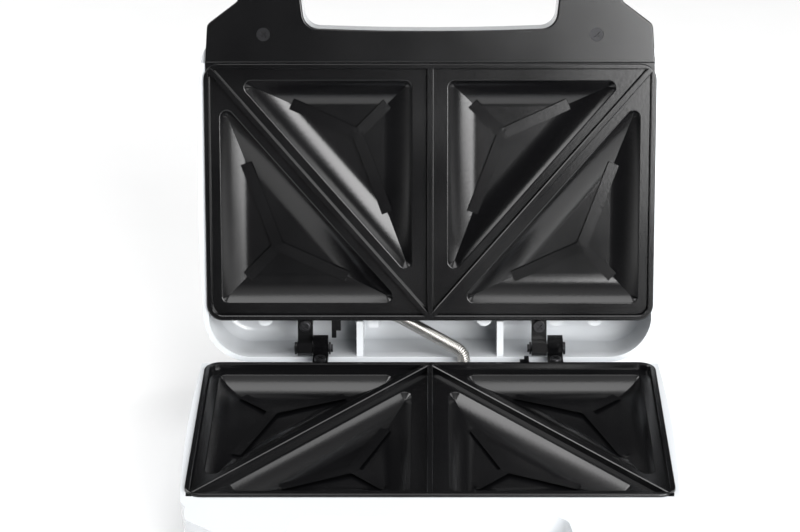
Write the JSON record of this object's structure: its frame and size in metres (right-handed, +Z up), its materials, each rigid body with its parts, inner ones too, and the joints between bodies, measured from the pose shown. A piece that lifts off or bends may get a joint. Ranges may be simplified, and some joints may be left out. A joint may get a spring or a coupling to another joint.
{
  "type": "sandwich toaster",
  "caption": "Hinged sandwich toaster standing open: black ribbed cooking plates with triangular pockets in white housings, a loop handle with latch, and a sprung wire conduit at the hinge",
  "frame": {"origin": "On the table plane, under the middle of the toaster's outline as it stands open", "axes": "+X along the hinge to the right as seen from the handle side, +Y from the handle to the hinge, +Z up"},
  "size_m": [0.232, 0.2893, 0.2521],
  "materials": {
    "non_stick_casting": "semi-gloss black non-stick coating on die-cast aluminium",
    "white_plastic": "gloss white",
    "black_plastic": "satin black",
    "rubber": "matte",
    "cream_plastic": "matte",
    "lamp_glass": "clear",
    "red_lens": "translucent red",
    "green_lens": "translucent green",
    "lead_covering": "woven sleeve",
    "heater_sheath": "dull",
    "aluminium_sheet": "mill",
    "steel": "bright zinc",
    "black_steel": "black zinc"
  },
  "bodies": {
    "base": {"base_plate": "non_stick_casting", "base_element": "heater_sheath", "base_element_clamps": "steel", "base_heat_shield": "aluminium_sheet", "base_shield_screws": "steel", "base_plate_screws": "black_steel", "thermal_cutout": "steel", "base_housing": "white_plastic", "base_handle_cover": "white_plastic", "base_handle_screws": "steel", "bottom_cover": "white_plastic", "bottom_cover_screws": "steel", "foot_front_left": "rubber", "foot_front_right": "rubber", "foot_rear_left": "rubber", "foot_rear_right": "rubber", "cord_gland": "black_plastic", "terminal_block": "cream_plastic", "conduit_clamp_base": "white_plastic", "hinge_pin_left": "black_steel", "hinge_pin_right": "black_steel", "hinge_clips": "black_steel", "conduit_leads": "lead_covering", "wire_conduit": "steel"},
    "lid": {"lid_plate": "non_stick_casting", "lid_element": "heater_sheath", "lid_element_clamps": "steel", "lid_heat_shield": "aluminium_sheet", "lid_shield_screws": "steel", "lid_plate_screws": "black_steel", "thermostat": "steel", "lid_housing": "white_plastic", "handle_frame": "black_plastic", "handle_frame_screws": "black_steel", "power_lamp_lens": "red_lens", "ready_lamp_lens": "green_lens", "neon_lamps": "lamp_glass", "lamp_holder": "cream_plastic", "conduit_clamp_lid": "white_plastic", "latch_pin": "steel"},
    "latch": {"latch": "black_plastic"}
  },
  "joints": [
    {"name": "lid_hinge", "type": "hinge", "parent": "base", "child": "lid", "pos_m": [0, 0.06599, 0.0463], "axis": [1, 0, 0], "range_deg": [0, 105], "deforming": ["wire_conduit", "conduit_leads"]},
    {"name": "latch_hinge", "type": "hinge", "parent": "lid", "child": "latch", "pos_m": [0, 0.12771, 0.24458], "axis": [-1, 0, 0], "range_deg": [0, 45]}
  ]
}
